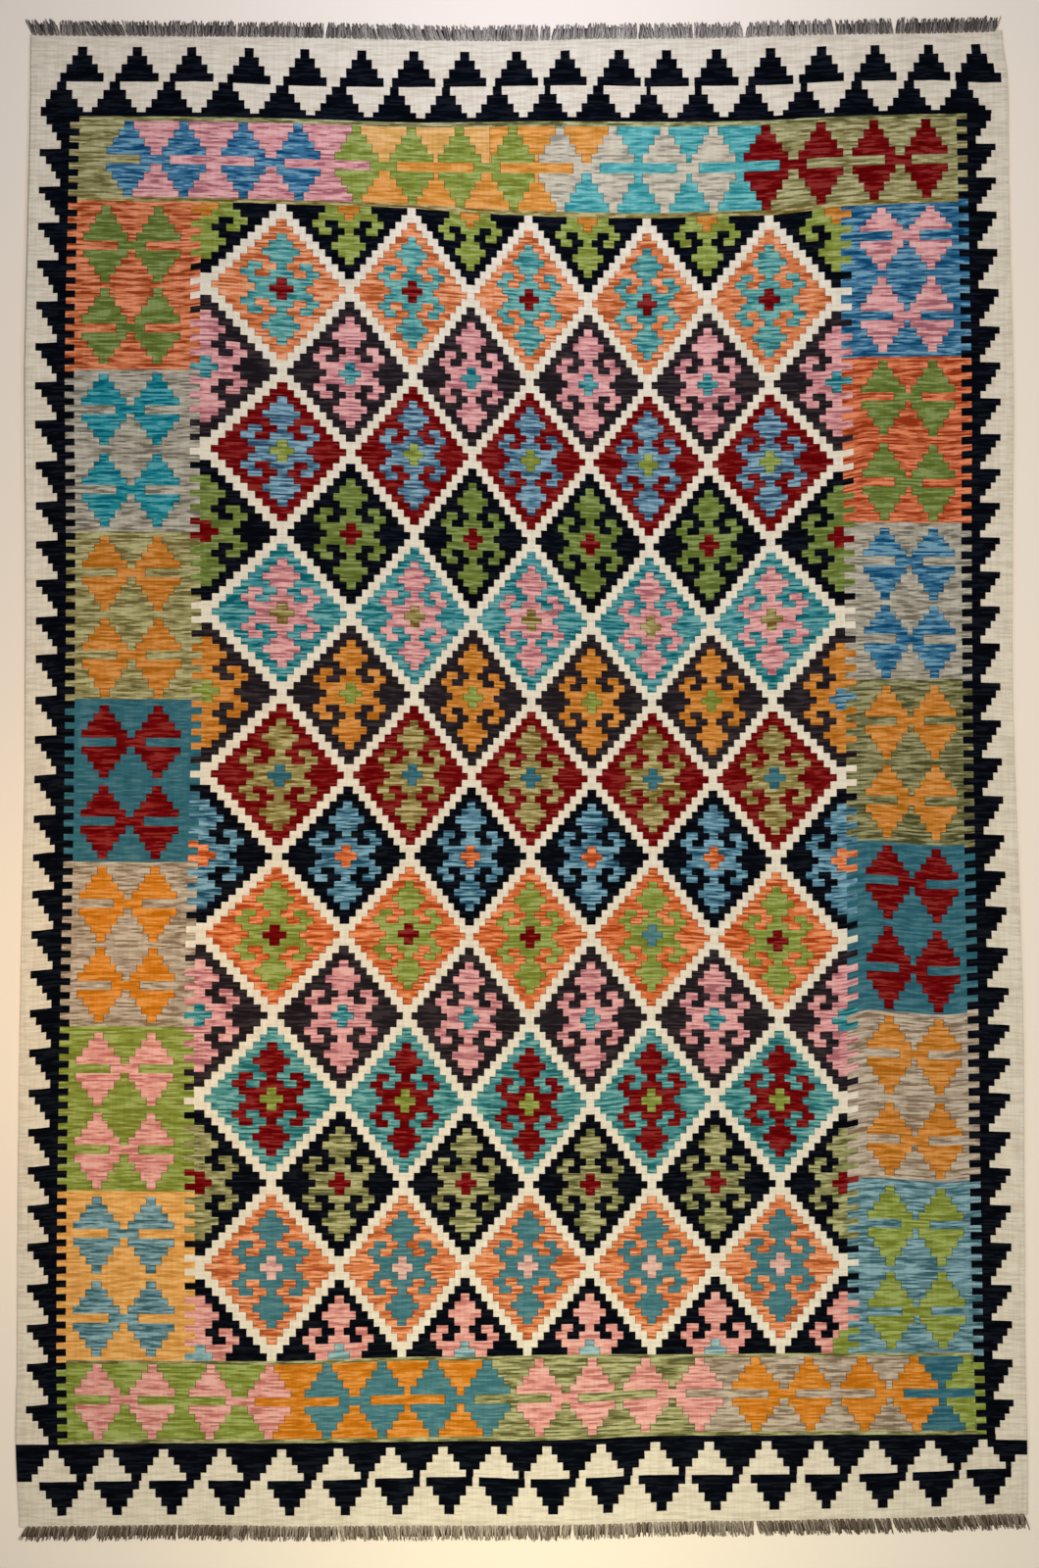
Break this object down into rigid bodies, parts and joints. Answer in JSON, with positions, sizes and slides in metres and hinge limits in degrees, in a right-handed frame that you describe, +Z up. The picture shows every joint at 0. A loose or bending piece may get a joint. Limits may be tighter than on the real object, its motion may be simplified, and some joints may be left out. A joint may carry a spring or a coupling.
{
  "type": "kilim rug",
  "caption": "Flat-woven wool rug laid out flat, with stepped diamonds, sawtooth borders and a short cut fringe at both ends.",
  "frame": {"origin": "on the floor, at the middle of the rug's outline with its fringe", "axes": "+X across the warps to the right selvedge, +Y along the warps to the top end, +Z up out of the face"},
  "size_m": [2.0442, 3.0858, 0.0035],
  "materials": {
    "woven_wool": "weft-faced tapestry weave, dull wool",
    "fringe_wool": "twisted undyed warp yarn, dull wool"
  },
  "bodies": {
    "root": {"kilim_cloth": "woven_wool", "fringe_top": "fringe_wool", "fringe_bottom": "fringe_wool"}
  },
  "joints": []
}
